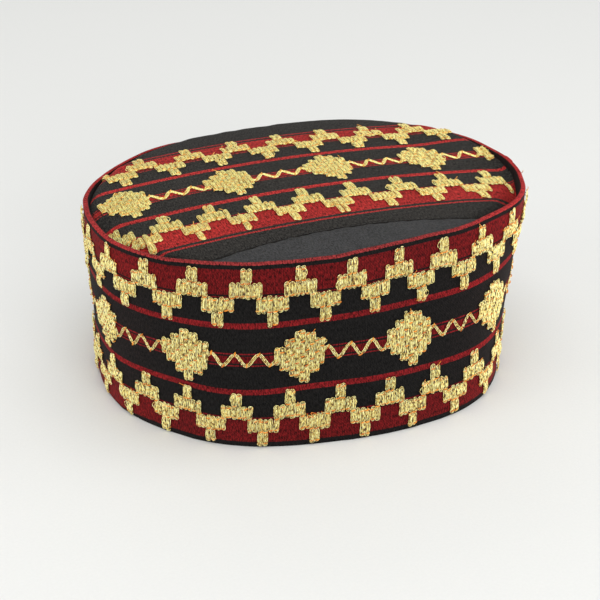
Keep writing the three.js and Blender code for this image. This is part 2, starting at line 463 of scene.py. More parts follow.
# %% [markdown]
# The side wall is the striped band round a stiffener. Its lower edge is folded under, and its upper edge is
# folded over into the thin standing rim, with the red border on the crest. The section is walked once: from
# the foot up the outside, over the crest and down the inside. The band's two ends meet at the right-hand
# end.

# %% Side wall
joint_share = 0.238
wall_girth = girth(0.5)
wall_columns = 480
crest_radius = wall_thickness / 2
foot_radius = 0.6 * MM
foot_width = wall_thickness * 0.6
lap = 0.5 * MM  # how far one end of the band stands over the other at their joint


def wall_section():
    """Rows of the wall: height and inset from the outer face, and place across the cloth from its middle."""
    foot_turns = np.linspace(math.pi / 2, 0, 4)
    rows = [(foot_radius * (1 - math.sin(turn)), foot_radius * (1 - math.cos(turn))) for turn in foot_turns]
    outside = np.linspace(0, height - crest_radius, 44)[1:-1]
    rows += [(z, 0.0) for z in outside if z > foot_radius * 1.5]
    middle_at = len(rows)
    for turn in np.linspace(0, math.pi, 15):
        rows.append((height - crest_radius * (1 - math.sin(turn)), crest_radius * (1 - math.cos(turn))))
    rows += [(z, wall_thickness) for z in np.linspace(height - crest_radius, 0, 22)[1:]]
    rows.append((0.0, foot_width))
    rows = np.array(rows)
    run = run_along(rows)
    return rows, run - np.interp(height / 2, rows[:middle_at, 0], run[:middle_at])


section, section_place = wall_section()
print("section rows:", len(section), "from", section_place[[0, -1]] / MM)

# %% Build the side wall
def rim_rise(share):
    """How much higher than in the solids the soft rim stands, on both sides of the back's middle."""
    share = np.mod(share, 1)
    return (1.3 * hump(share - 0.575, 0.09) + 1.0 * hump(share - 0.27, 0.12)) * MM


def waves(share, *terms):
    """A small closed wave round the cap: terms of turns, phase and size."""
    return sum(size * np.sin(TURN * (turns * share + phase)) for turns, phase, size in terms)


wall_share = joint_share - 1 + np.arange(wall_columns) / wall_columns
points = wall_points(wall_share[None, :], section[:, :1], section[:, 1:])
near_crest = hump(section[:, 0] - height, 14 * MM)[:, None]
near_foot = hump(section[:, 0], 5 * MM)[:, None] * (section[:, 0] > 0)[:, None]
rim_wave = waves(wall_share, (7, 0.1, 0.14 * MM), (17, 0.4, 0.1 * MM), (31, 0.7, 0.06 * MM))
points[..., 2] += near_crest * (rim_wave + rim_rise(wall_share))
overlap = lap * np.clip((wall_share - joint_share + 0.014) / 0.003, 0, 1)
sideways = near_crest * waves(wall_share, (11, 0.3, 0.18 * MM), (23, 0.8, 0.1 * MM))
sideways = sideways + near_foot * waves(wall_share, (13, 0.2, 0.15 * MM), (29, 0.5, 0.08 * MM))
radial = points[..., :2] / np.linalg.norm(points[..., :2], axis=-1, keepdims=True)
points[..., :2] += radial * (overlap * (section[:, 1:] < crest_radius) - np.abs(sideways))[..., None]

along = (joint_share - 1 + np.arange(wall_columns + 1) / wall_columns) * wall_girth
across = np.append(section_place, section_place[-1] + foot_width - foot_radius)
places = np.stack(np.meshgrid(along, across), -1)
wall_cloth = cloth_from_grid("wall_cloth", points, places, wall_stripes, True)
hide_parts("side_wall")
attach(wall_cloth, "root")

# %% [markdown]
# The crown closes the cap a few millimetres below the rim. It is two pieces: the striped band, and a
# crescent of plain satin along the near side, which makes up the width that the band lacks. Both turn down
# inside the rim, close under it at the back, and deep in two pockets at the ends of the near side. Each
# piece is a grid again: one edge is the seam, the other is the rim's oval, and the rows run between the
# two.

# %% The crown's surface
crown_thickness = 2 * MM
crown_inset = wall_thickness + 0.3 * MM
turn_down = 6 * MM
seam_apex = (-0.2, -0.655)
seam_bow = 0.24
pocket_reach = 11.5 * MM
ring_steps = 2880
# where the crown stands up or sinks: middle and reach in plan, and how far up, all in millimetres
crown_swells = [
    {"x": -60, "y": 60, "reach": (40, 25), "up": -0.5},
    {"x": 95, "y": 20, "reach": (32, 45), "up": 2.3},
    {"x": 84, "y": -44, "reach": (26, 22), "up": -0.6},
]


def high_side(share):
    """1 at the back's right, where the crown is sewn close under the rim, and 0 on the near side."""
    return np.clip(1.8 * hump(np.mod(share, 1) - 0.34, 0.16), 0, 1)


def edge_height(share):
    return height + rim_rise(share) - (4.5 - 3.7 * high_side(share)) * MM


def pocket_depth(share):
    """How much deeper the crown's edge goes in at the two corners of the near side."""
    share = np.mod(share, 1)
    return (7 * hump(share - 0.155, 0.06) + 7 * hump(share - 0.8, 0.09)) * MM


def sewn_height(share):
    return edge_height(share) - pocket_depth(share)


ring_shares = np.linspace(0, 1, ring_steps + 1)
edge_ring = wall_points(ring_shares, sewn_height(ring_shares), crown_inset)


def dome_height(x, y):
    """The crown's cubic from the near side to the far side, which also drops towards both ends."""
    across = y / rim_half[1] - rim_back
    along = x / rim_half[0]
    return height * (1.036 + 0.1 * across - 0.023 * across**2 - 0.066 * across**3 - 0.078 * along**2)


def edge_distance(plan, at_once=2000):
    """Distance of points in plan from the crown's edge, worked out for some of them at once."""
    flat = plan.reshape(-1, 2)
    found = np.empty(len(flat))
    for start in range(0, len(flat), at_once):
        gap = flat[start:start + at_once, None, :] - edge_ring[None, :, :2]
        found[start:start + at_once] = np.sqrt((gap**2).sum(-1).min(1))
    return found.reshape(plan.shape[:-1])


def seam_y(x):
    return rim_half[1] * (seam_apex[1] - seam_bow * (x / rim_half[0] - seam_apex[0]) ** 2)


def crown_height(plan, distance, share):
    """The dome, rolled down to the sewn line near the edge, and slightly gathered there."""
    x, y = plan[..., 0], plan[..., 1]
    dome = dome_height(x, y)
    for swell in crown_swells:
        reach_x, reach_y = swell["reach"]
        bulge = hump(x - swell["x"] * MM, reach_x * MM) * hump(y - swell["y"] * MM, reach_y * MM)
        dome = dome + swell["up"] * MM * bulge
    sewn = edge_height(share)
    roll_width = (6 - 3.5 * high_side(share)) * MM
    rolled = sewn + (dome - sewn) * np.sqrt(1 - (1 - np.clip(distance / roll_width, 0, 1)) ** 2)
    turn = np.arctan2(y / rim_half[1], x / rim_half[0]) / TURN
    gathers = waves(turn, (37, 0.1, 0.16 * MM), (61, 0.6, 0.1 * MM), (23, 0.3, 0.14 * MM))
    gathers = gathers * (0.55 + waves(turn, (3, 0.2, 0.4), (7, 0.55, 0.3))) * hump(distance - 4 * MM, 8 * MM)
    return rolled + gathers - pocket_depth(share) * hump(distance, pocket_reach)


ring_side = edge_ring[:, 1] - seam_y(edge_ring[:, 0])
crossings = np.nonzero(np.diff(np.sign(ring_side)))[0]
right_tip, left_tip = [k / ring_steps for k in crossings]
print("the seam meets the rim at shares", round(right_tip, 3), round(left_tip, 3))

# %% [markdown]
# The band was laid on the crown a degree or two askew, as the photo shows, so its map is turned by that
# much. Only the plan matters for the map: the dome is so flat that stretching it over the crown moves no
# stripe.

# %% Crown pieces
cloth_tilt = -0.043
cloth_middle = 3.93 * MM
cloth_shrink = 1.004
under_map_shift = 1.0  # metres: the under side's place on the map, away from the top's
edge_crowding = 1.6  # rows lie closer together towards the rim
seam_gap = 0.12 * MM  # from the seam's line to each of the two pieces
pinch_reach = 0.7 * MM


def crown_place(plan):
    across = (plan[..., 1] - cloth_middle - cloth_tilt * plan[..., 0]) / cloth_shrink
    return np.stack([plan[..., 0], across], -1)


def crown_patch(name, cloth_material, edge_shares, side, top_rows, pinch):
    """One crown piece, from the seam to the rim's oval. side is 1 for the far piece and -1 for the near one;
    pinch says how deep the seam pulls the cloth in at each place along it."""
    columns = len(edge_shares)
    sewn = sewn_height(edge_shares)
    on_edge = wall_points(edge_shares, sewn, crown_inset)[:, :2]
    seam_x = on_edge[0, 0] + (on_edge[-1, 0] - on_edge[0, 0]) * np.linspace(0, 1, columns)
    on_seam = np.stack([seam_x, seam_y(seam_x) + side * seam_gap], -1)
    on_seam[0], on_seam[-1] = on_edge[0], on_edge[-1]
    edge_pull = 1 - (1 - np.linspace(0, 1, top_rows)[:, None, None]) ** edge_crowding
    plan = on_seam[None] * (1 - edge_pull) + on_edge[None] * edge_pull
    from_seam = np.linalg.norm(plan - on_seam[None], axis=-1)
    z = crown_height(plan, edge_distance(plan), edge_shares)
    z = z - pinch(seam_x)[None, :] * np.exp(-(from_seam / pinch_reach) ** 2)
    rows = [*np.concatenate([plan, z[..., None]], -1)]
    inner = crown_inset + crown_thickness
    for part, inset in ((0.35, crown_inset), (0.7, crown_inset), (1, crown_inset), (1, inner), (0.5, inner)):
        rows.append(wall_points(edge_shares, sewn - turn_down * part, inset))
    under_edge = wall_points(edge_shares, sewn, inner)[:, :2]
    for part in (1.0, 0.9, 0.75, 0.5, 0.25, 0.02):
        flat = on_seam * (1 - part) + under_edge * part
        under = crown_height(flat, edge_distance(flat), edge_shares)
        under = np.minimum(under, dome_height(flat[:, 0], flat[:, 1])) - crown_thickness
        rows.append(np.concatenate([flat, under[:, None]], -1))
    rows = np.array(rows)
    places = crown_place(np.concatenate([rows, rows[:1]])[..., :2])
    shifts = under_map_shift * (np.arange(len(rows)) >= top_rows - 1)
    return cloth_from_grid(name, rows, places, cloth_material, False, shifts)


def panel_pinch(x):
    return (0.3 + 0.06 * np.sin(x / (2.6 * MM))) * MM


far_shares = np.linspace(right_tip, left_tip, 420)
crown_cloth = crown_patch("crown_cloth", crown_stripes, far_shares, 1, 90, panel_pinch)
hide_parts("crown_panel")
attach(crown_cloth, "root")

# %% [markdown]
# The satin is plain and black. What tells it from the cloth is its sheen, so its roughness is lower and
# carries a faint slanted twill, and its bump holds a few soft drag lines that run off the seam.

# %% Satin crescent
def satin_paint(graph):
    along, across = cloth_place(graph)
    twill = (along * 0.8 + across).wave(0.5) * 0.5 + 0.5
    drag = stretched(graph, along, across, (0.12, 0.03), 3, 0.6)
    clouds = stretched(graph, along, across, (0.05, 0.08), 3)
    specks = stretched(graph, along, across, (1.7, 0.6), 2, 0.7)
    shade = clouds * 0.6 + twill * 0.12 + drag + specks * 4.5 - 2.1
    color = graph.shaded((0.03, 0.03, 0.031, 1), graph.vector(shade, shade, shade))
    relief = twill * 0.08 + drag * 0.72 + specks * 0.2
    return graph.surface(color, clouds * 0.16 + 0.5, relief, 0.9 * MM, 0.6)


def satin_pinch(x):
    return (0.36 + 0.14 * np.sin(x / (1.9 * MM)) + 0.08 * np.sin(x / (0.8 * MM))) * MM


satin = material("black_satin", satin_paint, Specular_IOR_Level=0.18)
near_shares = np.linspace(right_tip, left_tip - 1, 260)
crown_satin = crown_patch("crown_satin", satin, near_shares, -1, 40, satin_pinch)
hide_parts("crown_front")
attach(crown_satin, "root")

# %% [markdown]
# All the gold lies on the cloth, and the cloth bends. So the gold is first laid out flat, in the cloth's
# own map: x along the cloth, y across it and z off it. One node group then lays anything flat on the cloth:
# it looks up, for each point, the place on the cloth that has this point's map value, and the way out
# there.

# %% The group that lays flat work on the cloth
def start_tree(name, **sockets):
    """A node group that takes a geometry, a cloth and the named sockets, each with a kind and a value."""
    tree = bpy.data.node_groups.new(name, "GeometryNodeTree")
    sockets = {"Geometry": ("Geometry", None), "Cloth": ("Object", None), **sockets}
    for key, (kind, default) in sockets.items():
        made = tree.interface.new_socket(name=key, in_out="INPUT", socket_type="NodeSocket" + kind)
        if default is not None:
            made.default_value = default
    tree.interface.new_socket(name="Geometry", in_out="OUTPUT", socket_type="NodeSocketGeometry")
    graph = Graph(tree)
    group_input = tree.nodes.new("NodeGroupInput")
    return tree, graph, {item.name: Value(graph, item) for item in group_input.outputs if item.name}


def end_tree(graph, geometry):
    graph.add("NodeGroupOutput", None, {0: geometry})
    print("tree:", graph.tree.name, "nodes:", len(graph.tree.nodes))


def named(graph, name, data_type="FLOAT"):
    return graph.add("GeometryNodeInputNamedAttribute", {"data_type": data_type}, {"Name": name})


def moved(graph, geometry, **how):
    return graph.add("GeometryNodeSetPosition", None, {"Geometry": geometry, **how})


def on_points(graph, places, shape, **how):
    """A copy of the shape on each point, as real geometry."""
    copies = graph.add("GeometryNodeInstanceOnPoints", None, {"Points": places, "Instance": shape, **how})
    return graph.add("GeometryNodeRealizeInstances", None, {"Geometry": copies})


lay_tree, graph, given = start_tree("lay_on_cloth")
cloth_geometry = graph.add("GeometryNodeObjectInfo", None, {"Object": given["Cloth"]}, out=4)
flat_x, flat_y, off_cloth = graph.split(graph.add("GeometryNodeInputPosition"))
where = graph.vector(flat_x * map_scale, flat_y * map_scale)
cloth_uv = named(graph, cloth_map, "FLOAT_VECTOR")


def sampled(value):
    sockets = {"Mesh": cloth_geometry, "Value": value, "Sample UV": where, "UV Map": cloth_uv}
    return graph.add("GeometryNodeSampleUVSurface", {"data_type": "FLOAT_VECTOR"}, sockets)


on_cloth = sampled(graph.add("GeometryNodeInputPosition"))
way_out = sampled(named(graph, "cloth_out", "FLOAT_VECTOR"))
target = graph.vector_math("ADD", on_cloth, graph.vector_math("SCALE", way_out, off_cloth))
end_tree(graph, moved(graph, given["Geometry"], Position=target))


def finish_on_cloth(graph, given, geometry, lump_scale=900.0):
    """The last steps of both trees below. The flat place is kept as an attribute for the material, and every
    point moves a little. Then the work is laid on the cloth and gets its thread."""
    flat = graph.add("GeometryNodeInputPosition")
    keep = {"Geometry": geometry, "Name": "flat", "Value": flat}
    geometry = graph.add("GeometryNodeStoreNamedAttribute", {"data_type": "FLOAT_VECTOR"}, keep)
    sockets = {"Vector": flat, "W": given["Seed"], "Scale": lump_scale, "Detail": 1.0}
    shift = graph.add("ShaderNodeTexNoise", {"noise_dimensions": "4D"}, sockets, out=1)
    shift = graph.vector_math("SUBTRACT", shift, (0.5, 0.5, 0.5))
    shift = graph.vector_math("SCALE", shift, given["Unevenness"] * 4.0)
    geometry = moved(graph, geometry, Offset=shift)
    sockets = {"Geometry": geometry, "Cloth": given["Cloth"]}
    geometry = graph.add("GeometryNodeGroup", {"node_tree": lay_tree}, sockets)
    sockets = {"Geometry": geometry, "Material": given["Thread"]}
    end_tree(graph, graph.add("GeometryNodeSetMaterial", None, sockets))


# %% [markdown]
# Couched gold is metal thread that is laid on the cloth, up and down in close columns, and tied down with a
# finer thread. A column's thread turns back at each end in a round loop, and it bulges between the ties. So
# one brick of a column is modelled, three loops inside each other, and the tree below sets a brick on each
# point that it is given. Bricks differ in length: the tree pulls the two ends of each apart, and the round
# turns keep their shape.

# %% One brick of gold thread
thread_radius = 0.19 * MM
column_width = 2.32 * MM
brick_half_width = column_width / 2 - thread_radius
brick_crown = 0.62 * MM  # how far the middle of a brick stands over its sides


def loop_line(half_width, turn_steps, side_steps):
    """A round-ended loop: its points, and for each how far it moves as the ends are pulled apart, -1 to 1."""
    line = []
    for end in (1, -1):
        for turn in np.linspace(0, math.pi, turn_steps):
            line.append((end * half_width * math.cos(turn), end * half_width * math.sin(turn), end))
        for pull in np.linspace(end, -end, side_steps + 2)[1:-1]:
            line.append((-end * half_width, 0.0, pull))
    return np.array(line)


def tube(edit, centres, radius, sides, closed, phase=0.0):
    """Rings of corners round a line, joined to a tube; returns the corners, ring by ring."""
    count = len(centres)
    rings = []
    for i in range(count):
        before = centres[i - 1] if closed or i else centres[0]
        after = centres[(i + 1) % count] if closed or i < count - 1 else centres[-1]
        along = Vector(after - before).normalized()
        side = along.cross(Vector((0, 0, 1))).normalized()
        up = side.cross(along)
        ring = []
        for k in range(sides):
            angle = phase + TURN * k / sides
            out = radius * (math.cos(angle) * side + math.sin(angle) * up)
            ring.append(edit.verts.new(Vector(centres[i]) + out))
        rings.append(ring)
    for i in range(count if closed else count - 1):
        ring, following = rings[i], rings[(i + 1) % count]
        for k in range(sides):
            edit.faces.new((ring[k], ring[(k + 1) % sides], following[(k + 1) % sides], following[k]))
    if not closed:
        edit.faces.new(rings[0])
        edit.faces.new(list(reversed(rings[-1])))
    return rings


def shape_from(edit, name):
    bmesh.ops.recalc_face_normals(edit, faces=edit.faces)
    mesh = bpy.data.meshes.new(name)
    edit.to_mesh(mesh)
    edit.free()
    return smooth_object(name, mesh)


def make_brick():
    edit = bmesh.new()
    pull_layer = edit.verts.layers.float.new("pull")
    next_in = brick_half_width - 2.3 * thread_radius
    for half_width, turn_steps in ((brick_half_width, 5), (next_in, 3), (0.1 * MM, 2)):
        line = loop_line(half_width, turn_steps, 4)
        past_end = np.abs(line[:, 1]) / (column_width / 2)
        arched = 1 - 0.7 * (line[:, 0] / (column_width / 2)) ** 4
        lift = brick_crown * arched * (1.5 - 0.5 * line[:, 2] ** 2 - 0.45 * past_end) + thread_radius
        centres = np.stack([line[:, 0], line[:, 1] + line[:, 2] * MM, lift], 1)
        for ring, pull in zip(tube(edit, centres, thread_radius, 3, True, math.pi / 2), line[:, 2]):
            for corner in ring:
                corner.co.y -= pull * MM
                corner[pull_layer] = pull
    return shape_from(edit, "gold_brick")


gold_brick = make_brick()
print("gold brick:", len(gold_brick.data.polygons), "faces")

# %% The tree that sets bricks on the cloth
brick_tree, graph, given = start_tree(
    "couched_bricks", Brick=("Object", None), Thread=("Material", None), Lift=("Float", 0.0),
    Unevenness=("Float", 0.16 * MM), Seed=("Float", 0.0),
)
bricks = on_points(
    graph, given["Geometry"], graph.add("GeometryNodeObjectInfo", None, {"Object": given["Brick"]}, out=4),
    Rotation=named(graph, "lean", "FLOAT_VECTOR"), Scale=named(graph, "stretch", "FLOAT_VECTOR"),
)
pull_apart = named(graph, "pull") * named(graph, "half_run")
pulled = graph.vector(pull_apart * named(graph, "lean_side"), pull_apart, given["Lift"])
finish_on_cloth(graph, given, moved(graph, bricks, Offset=pulled))

# %% [markdown]
# The charts. A stair row is a zigzag of steps: going along it, the columns rise and fall by one unit, and
# each tenth column repeats. Each entry gives a column's foot and head in units, counted from the row's
# level. A diamond's columns have no round units, so its chart is in millimetres from the cloth's middle
# line.

# %% Charts of the gold work
stair_unit = 6.25 * MM
stair_chart = {0.5: (0, 2), 1.5: (0, 1), 2.5: (-1, 1), 3.5: (-1, 0), 4.5: (-2, 0)}
diamond_tops = (5.2, 5.2, 8.3, 8.3, 11.4, 11.4, 10.4, 10.4, 7.2, 7.2)
diamond_feet = (-2.2, -5.6, -5.6, -9.2, -9.2, -12.2, -12.2, -8.2, -8.2, -5.0)
diamond_pitch = 2.12 * MM
diamond_brick = 7.0 * MM
diamond_step = 2.7 * MM
shortest_brick = 2.2 * MM
wall_period = 21.85 * MM
crown_period = 22.6 * MM


def stair_bricks(peaks, level, period):
    """The columns of a stair row, cut into bricks of one unit: place along the cloth, foot and head."""
    columns = []
    for peak in peaks:
        for offset, (foot, head) in stair_chart.items():
            for side in (-1, 1):
                columns.append((peak + side * offset * period / 10, level + foot * stair_unit, head - foot))
    return [
        (at, foot + k * stair_unit, foot + (k + 1) * stair_unit)
        for at, foot, units in sorted(columns) for k in range(units)
    ]


def diamond_bricks(middles):
    """Each diamond's columns, cut into bricks whose joints climb from column to column."""
    bricks = []
    for middle in middles:
        for i, (foot, head) in enumerate(zip(diamond_feet, diamond_tops)):
            at = middle + (i - 4.5) * diamond_pitch
            low, top = foot * MM, head * MM
            climb = i * diamond_step
            joint = math.floor((low - climb) / diamond_brick) * diamond_brick + climb
            cuts = [low]
            while joint < top - shortest_brick:
                if joint > low + shortest_brick:
                    cuts.append(joint)
                joint += diamond_brick
            cuts.append(top)
            bricks += [(at, a, b) for a, b in zip(cuts[:-1], cuts[1:])]
    return bricks


def round_the_wall(first, period, margin, level):
    """All places a period apart, from one side of the joint round to the other. They are counted at the row's
    own level, where there is more or less girth to share out than at half height, where the map counts."""
    low, high = joint_place - wall_girth + margin, joint_place - margin
    steps = range(math.ceil((low - first) / period), math.floor((high - first) / period) + 1)
    return [(first + k * period) * wall_girth / girth(level) for k in steps]


joint_place = joint_share * wall_girth
lower_level, upper_level = -27.8 * MM, 27.2 * MM
lower_peaks = round_the_wall(-37.1 * MM, wall_period, -10 * MM, 0.17)
upper_peaks = round_the_wall(-33.6 * MM, wall_period, -10 * MM, 0.83)
wall_diamonds = round_the_wall(-33.2 * MM, 48.2 * MM, 10 * MM, 0.5)
print("peaks:", len(lower_peaks), len(upper_peaks), "diamonds on the wall:", len(wall_diamonds))

# %% [markdown]
# Hand work is never even. Each brick gets its own small change of length, lean and place from one seeded
# source. A tree works on a seed object, a mesh of loose points or lines, and what it makes is kept as a
# plain mesh.

# %% Bricks to points, and points to gold
chance = np.random.default_rng(651)
brick_overlap = 0.35 * MM
shortest_half_run = 0.2 * MM
# how much the bricks differ: lengths in metres, the lean in radians, width and height as shares
hand = {"run": 0.22 * MM, "lean": 0.035, "along": 0.1 * MM, "across": 0.15 * MM, "wide": 0.05, "tall": 0.15}


def seed_object(name, corners, edges=()):
    """A mesh of loose points or lines in the cloth's flat map."""
    mesh = bpy.data.meshes.new(name)
    mesh.from_pydata(corners, edges, [])
    made = bpy.data.objects.new(name, mesh)
    bpy.context.collection.objects.link(made)
    return made


def grown(name, seeds, tree, slot, **inputs):
    """The piece that a tree makes from a seed object, which is removed."""
    modifier = seeds.modifiers.new(tree.name, "NODES")
    modifier.node_group = tree
    for item in tree.interface.items_tree:
        if item.in_out == "INPUT" and item.name in inputs:
            modifier[item.identifier] = inputs[item.name]
    bpy.context.view_layer.update()
    shown = seeds.evaluated_get(bpy.context.evaluated_depsgraph_get())
    mesh = bpy.data.meshes.new_from_object(shown)
    mesh.name = name
    bpy.data.objects.remove(seeds)
    made = smooth_object(name, mesh)
    print(name, len(mesh.polygons), "faces")
    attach(made, "root")


def set_shapes(name, slot, places, lean, wide, tall=1.0, half_run=0.0, **inputs):
    """A brick or tie on each flat place. Lean, width, height and half run are one value each, or lists."""
    seeds = seed_object(name + "_seeds", [(x, y, 0.0) for x, y in places])
    values = {"half_run": [half_run], "lean_side": [-lean], "lean": [0, 0, lean], "stretch": [wide, 1, tall]}
    for key, parts in values.items():
        kind, field = ("FLOAT_VECTOR", "vector") if len(parts) == 3 else ("FLOAT", "value")
        table = np.stack([np.broadcast_to(part, len(places)) for part in parts], 1).astype(np.float32)
        seeds.data.attributes.new(key, kind, "POINT").data.foreach_set(field, table.ravel())
    grown(name, seeds, brick_tree, slot, **inputs)


def gold_from_bricks(name, bricks, cloth, thread, seed):
    change = {key: chance.normal(0, spread, len(bricks)) for key, spread in hand.items()}
    at, low, high = np.array(bricks).T
    half_run = (high - low) / 2 + brick_overlap - column_width / 2 + change["run"]
    places = np.stack([at + change["along"], (low + high) / 2 + change["across"]], 1)
    set_shapes(
        name, "gold_thread", places, change["lean"], 1 + change["wide"], 1 + change["tall"],
        np.maximum(half_run, shortest_half_run),
        Cloth=cloth, Brick=gold_brick, Thread=thread, Seed=float(seed),
    )


def gold_paint(graph, parted, gap, gold, cream):
    """Metal strip wound round a pale yellow core. Its cream is a painted highlight, where the strip would
    catch the light, and it is dark in short dashes along the strands, a painted shade in the gap where two of
    them part.
    The dashes follow the flat place that the tree has kept, and there are more of them where parted is
    higher."""
    along, across, _ = graph.split(graph.add("ShaderNodeAttribute", {"attribute_name": "flat"}, out=1))
    dashes = graph.noise(graph.vector(along * (2.1 / MM), across * (0.6 / MM)), 1.0, 2, 0.6)
    flecks = graph.lumps(1900, 2, 0.7)
    drift = graph.lumps(160, 3)
    # amber between the gap's painted shade and the gold: the soft edge of the painted shade
    edge = (0.62, 0.3, 0.04)
    stops = [(parted, gap), (parted + 0.03, edge), (parted + 0.07, gold), (parted + 0.14, cream)]
    tone = graph.ramp(dashes * 0.75 + flecks * 0.2 + drift * 0.05, stops)
    return graph.surface(tone, 0.5 - flecks * 0.35, flecks, 0.16 * MM, 0.9)


metal = {"Metallic": 0.08, "Specular_IOR_Level": 0.8, "Sheen_Weight": 0.2, "Sheen_Tint": (1, 0.8, 0.35, 1)}
# the share at which strands part, then the painted shade of the gap between them, the gold, and the cream of
# the painted highlight
wall_tones = [0.42, (0.03, 0.018, 0.006), (1.0, 0.86, 0.24), (1.0, 0.97, 0.5)]
crown_tones = [0.375, (0.26, 0.1, 0.012), (1.0, 0.7, 0.11), (1.0, 0.96, 0.4)]
gold_thread = material("gold_thread", gold_paint, *wall_tones, **metal)
crown_gold = material("crown_gold", gold_paint, *crown_tones, **metal)


def short_of_joint(bricks, margin=2 * MM):
    """The band was cut to length after it was worked, so the rows stop at the joint wherever it fell."""
    start, end = joint_place - wall_girth + margin, joint_place - margin
    return [brick for brick in bricks if start < brick[0] < end]


lower_bricks = short_of_joint(stair_bricks(lower_peaks, lower_level, wall_period))
upper_bricks = short_of_joint(stair_bricks(upper_peaks, upper_level, wall_period))
diamond_work = diamond_bricks(wall_diamonds)
gold_from_bricks("gold_lower_stairs", lower_bricks, wall_cloth, gold_thread, 1)
gold_from_bricks("gold_upper_stairs", upper_bricks, wall_cloth, gold_thread, 2)
gold_from_bricks("gold_wall_diamonds", diamond_work, wall_cloth, gold_thread, 3)

# %% [markdown]
# The crown carries the same two stair rows and the row of diamonds. The rim cuts them off at both ends,
# where the cloth turns down, so a brick is kept only where its middle lies on the crown.

# %% Gold on the crown
def on_crown(bricks, margin):
    """The bricks whose middle is on the crown's panel, at least a margin inside its edge and its seam."""
    kept = []
    for at, low, high in bricks:
        y = cloth_middle + cloth_tilt * at + cloth_shrink * (low + high) / 2
        gap = np.sqrt(((edge_ring[:, :2] - (at, y)) ** 2).sum(1)).min()
        inside = (abs(at) / (rim_half[0] - crown_inset)) ** rim_roundness
        inside += (abs(y - rim_back * rim_half[1]) / (rim_half[1] - crown_inset)) ** rim_roundness
        if inside < 1 and gap > margin and y > seam_y(at) + margin:
            kept.append((at, low, high))
    return kept


crown_level = 28.9 * MM
crown_margin = 1 * MM
# on the near side the row is stretched a little towards the left
front_peaks = [(-6.9 + 22.7 * k + 1.8 * max(0, -k - 0.5)) * MM for k in range(-5, 6)]
back_peaks = [(4.6 + 22.6 * k) * MM for k in range(-5, 6)]
crown_diamonds = [(14.1 + 47.5 * k) * MM for k in range(-2, 2)]
cut_diamond = 102 * MM  # the rim leaves only the edge of this one
front_bricks = stair_bricks(front_peaks, -crown_level, crown_period)
back_bricks = stair_bricks(back_peaks, crown_level, crown_period)
crown_stairs = on_crown(front_bricks + back_bricks, crown_margin)
crown_diamond_bricks = on_crown(diamond_bricks([*crown_diamonds, cut_diamond]), crown_margin)
gold_from_bricks("gold_crown_stairs", crown_stairs, crown_cloth, crown_gold, 4)
gold_from_bricks("gold_crown_diamonds", crown_diamond_bricks, crown_cloth, crown_gold, 5)

# %% [markdown]
# The ties are what holds the gold down: short stitches of orange thread across each column, at most joints
# of its bricks. They are laid by the same tree, because a tie is also a small shape at a place on the
# cloth.

# %% Ties
def make_tie():
    """Half a column wide each way and arched over the gold; the arch is in millimetres."""
    edit = bmesh.new()
    half = [(0.4, 0.85), (0.9, 0.6), (1.15, 0.1)]
    arch = [(-x, 0, z) for x, z in reversed(half)] + [(x, 0, z) for x, z in half]
    tube(edit, np.array(arch) * MM, 0.28 * MM, 4, False)
    return shape_from(edit, "tie_stitch")


def tie_paint(graph, dark, light):
    drift = graph.lumps(700)
    tone = graph.ramp(drift, [(0.35, dark), (0.65, light)])
    return graph.surface(tone, drift * 0.2 + 0.45, drift, 0.1 * MM, 0.5)


foot_inset, head_inset = 0.9 * MM, 1.0 * MM  # how far inside a column's ends its last ties lie
heads_tied = 0.6  # how often a head is tied, next to a foot
tie_stitch = make_tie()
tie_thread = material("tie_thread", tie_paint, (0.5, 0.11, 0.008), (0.9, 0.32, 0.02))
crown_tie = material("crown_tie", tie_paint, (0.55, 0.22, 0.025), (0.9, 0.46, 0.09))


def set_ties(name, places, scatter, lean, spread, wide, cloth, thread, seed):
    """Ties near the given places, each leaning by its own amount."""
    places = np.array(places) + chance.normal(0, scatter, (len(places), 2))
    set_shapes(
        name, "tie_thread", places, chance.normal(lean, spread, len(places)), wide,
        Cloth=cloth, Brick=tie_stitch, Thread=thread, Unevenness=0.06 * MM, Seed=float(seed),
    )


def column_ends(bricks, end):
    """The feet (end 1) or heads (end 2) of all bricks, rounded so that touching ones are found equal."""
    return {(round(brick[0], 6), round(brick[end], 5)) for brick in bricks}


def ties_for(name, bricks, cloth, thread, portion, seed):
    """A tie at the foot of a portion of the bricks, and just inside the head of some columns."""
    places = []
    feet, heads = column_ends(bricks, 1), column_ends(bricks, 2)
    for at, low, high in bricks:
        if chance.random() < portion:
            below = (round(at, 6), round(low, 5)) in heads
            places.append((at, low + (0 if below else foot_inset)))
        if (round(at, 6), round(high, 5)) not in feet and chance.random() < heads_tied * portion:
            places.append((at, high - head_inset))
    set_ties(name, places, 0.12 * MM, 0.2, 0.14, 0.85, cloth, thread, seed)


ties_for("ties_lower_stairs", lower_bricks, wall_cloth, tie_thread, 0.95, 11)
ties_for("ties_upper_stairs", upper_bricks, wall_cloth, tie_thread, 0.95, 12)
ties_for("ties_wall_diamonds", diamond_work, wall_cloth, tie_thread, 0.95, 13)
ties_for("ties_crown", crown_stairs + crown_diamond_bricks, crown_cloth, crown_tie, 0.9, 14)

# %% [markdown]
# Between the diamonds runs a zigzag of the same gold, a flat bundle of strands side by side. A second tree
# makes it: it sweeps a row of small circles along a flat line and lays the result on the cloth. Any loose
# thread is the same thing with one strand, so the tree also makes the stray ends and the machine stitches
# of the seam.

